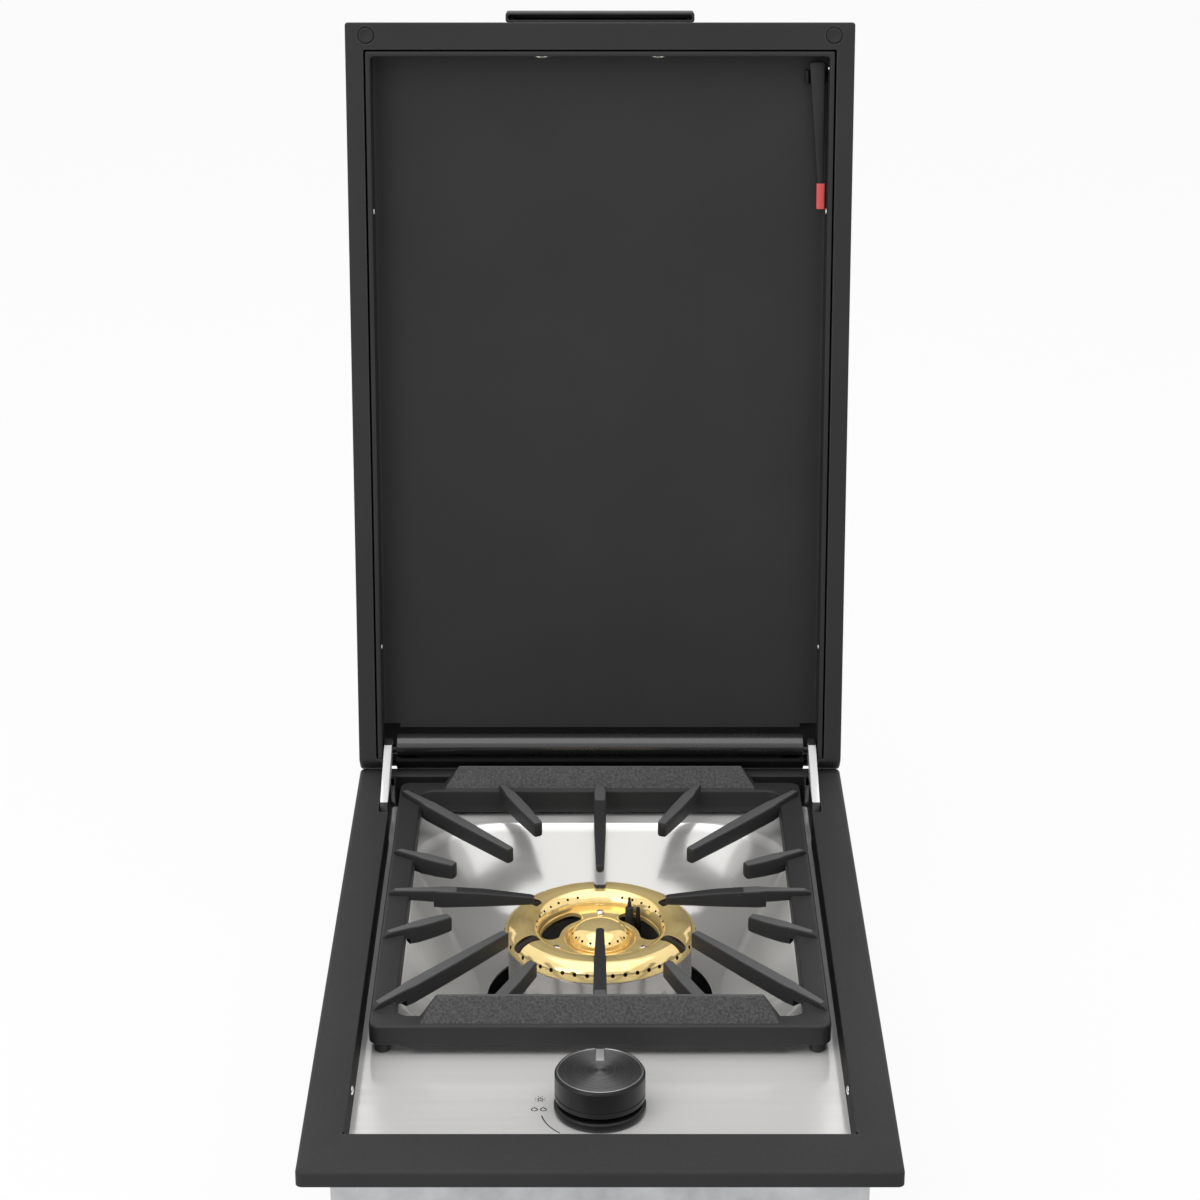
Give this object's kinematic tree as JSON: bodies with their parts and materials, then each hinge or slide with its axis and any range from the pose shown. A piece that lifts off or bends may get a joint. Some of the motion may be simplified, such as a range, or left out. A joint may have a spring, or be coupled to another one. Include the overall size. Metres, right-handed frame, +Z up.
{
  "type": "built-in side burner",
  "caption": "Drop-in gas side burner for an outdoor kitchen: brass ring burner in a steel bowl, cast pan grate, push-and-turn knob and a hinged lid that opens past upright.",
  "frame": {"origin": "middle of the front flange's underside, on the plane where the unit rests on the counter", "axes": "+Z up, +Y from the front edge to the hinge at the rear, +X to the right of someone at the knob"},
  "size_m": [0.34, 0.618, 0.6698],
  "materials": {
    "painted_steel": "fine black powder coat, satin",
    "painted_liner": "black enamel, satin",
    "stainless": "brushed along the width",
    "polished": "polished",
    "zinc_plate": "zinc plated sheet, satin",
    "brass": "polished",
    "cast_iron": "satin enamel over a rough casting",
    "knob_metal": "dark spun metal",
    "rubber": "matt",
    "black_plastic": "matt",
    "red_plastic": "satin",
    "alloy": "satin",
    "copper": "satin"
  },
  "bodies": {
    "base": {"burner_box": "zinc_plate", "trim_frame": "painted_steel", "cooktop_panel": "stainless", "panel_rail_right": "zinc_plate", "panel_rail_left": "zinc_plate", "skirt_screw_right": "polished", "skirt_screw_left": "polished", "burner_cup": "stainless", "burner_ring": "brass", "burner_cap": "brass", "ring_screw_1": "polished", "ring_screw_2": "polished", "ring_screw_3": "polished", "main_venturi": "alloy", "simmer_venturi": "alloy", "main_jet": "brass", "simmer_jet": "brass", "jet_plate": "zinc_plate", "burner_bracket_right": "zinc_plate", "burner_bracket_left": "zinc_plate", "valve_bracket": "zinc_plate", "gas_valve": "alloy", "main_gas_tube": "alloy", "simmer_gas_tube": "alloy", "inlet_pipe": "alloy", "inlet_fitting": "brass", "knob_bezel": "knob_metal", "valve_spring": "polished", "igniter": "black_plastic", "thermocouple": "copper", "ignition_module": "black_plastic", "igniter_lead": "rubber", "thermocouple_lead": "copper", "hinge_arm_right": "polished", "hinge_arm_left": "polished", "arm_bolt_right_1": "zinc_plate", "arm_bolt_right_2": "zinc_plate", "arm_bolt_left_1": "zinc_plate", "arm_bolt_left_2": "zinc_plate"},
    "valve_push": {"spring_retainer": "zinc_plate"},
    "knob": {"valve_stem": "polished", "control_knob": "knob_metal", "knob_pointer": "polished"},
    "grate": {"pan_grate": "cast_iron"},
    "lid": {"lid_shell": "painted_steel", "lid_liner": "painted_liner", "hinge_tube": "painted_steel", "pivot_pin_right": "polished", "pivot_pin_left": "polished", "lid_handle": "painted_steel", "bumper_right": "rubber", "bumper_left": "rubber", "liner_screw_right_1": "polished", "liner_screw_right_2": "polished", "liner_screw_left_1": "polished", "liner_screw_left_2": "polished", "stick_clip": "zinc_plate"},
    "stick": {"lighting_stick": "black_plastic", "stick_tip": "red_plastic"}
  },
  "joints": [
    {"name": "lid_hinge", "type": "hinge", "parent": "base", "child": "lid", "pos_m": [0, 0.5073, 0.0231], "axis": [1, 0, 0], "range_deg": [0, 97.7]},
    {"name": "knob_push", "type": "slide", "parent": "base", "child": "valve_push", "axis": [0, 0, -1], "range_m": [0, 0.0024], "stiffness_N_per_m": 1200, "springref_m": -0.004, "deforming": ["valve_spring"]},
    {"name": "knob_turn", "type": "hinge", "parent": "valve_push", "child": "knob", "pos_m": [0, 0.085, 0], "axis": [0, 0, 1], "range_deg": [0, 240]},
    {"name": "grate_lift", "type": "slide", "parent": "base", "child": "grate", "axis": [0, 0, 1], "range_m": [0, 0.008]},
    {"name": "stick_pull", "type": "slide", "parent": "lid", "child": "stick", "axis": [0, -0.991, 0.134], "range_m": [0, 0.01]}
  ]
}
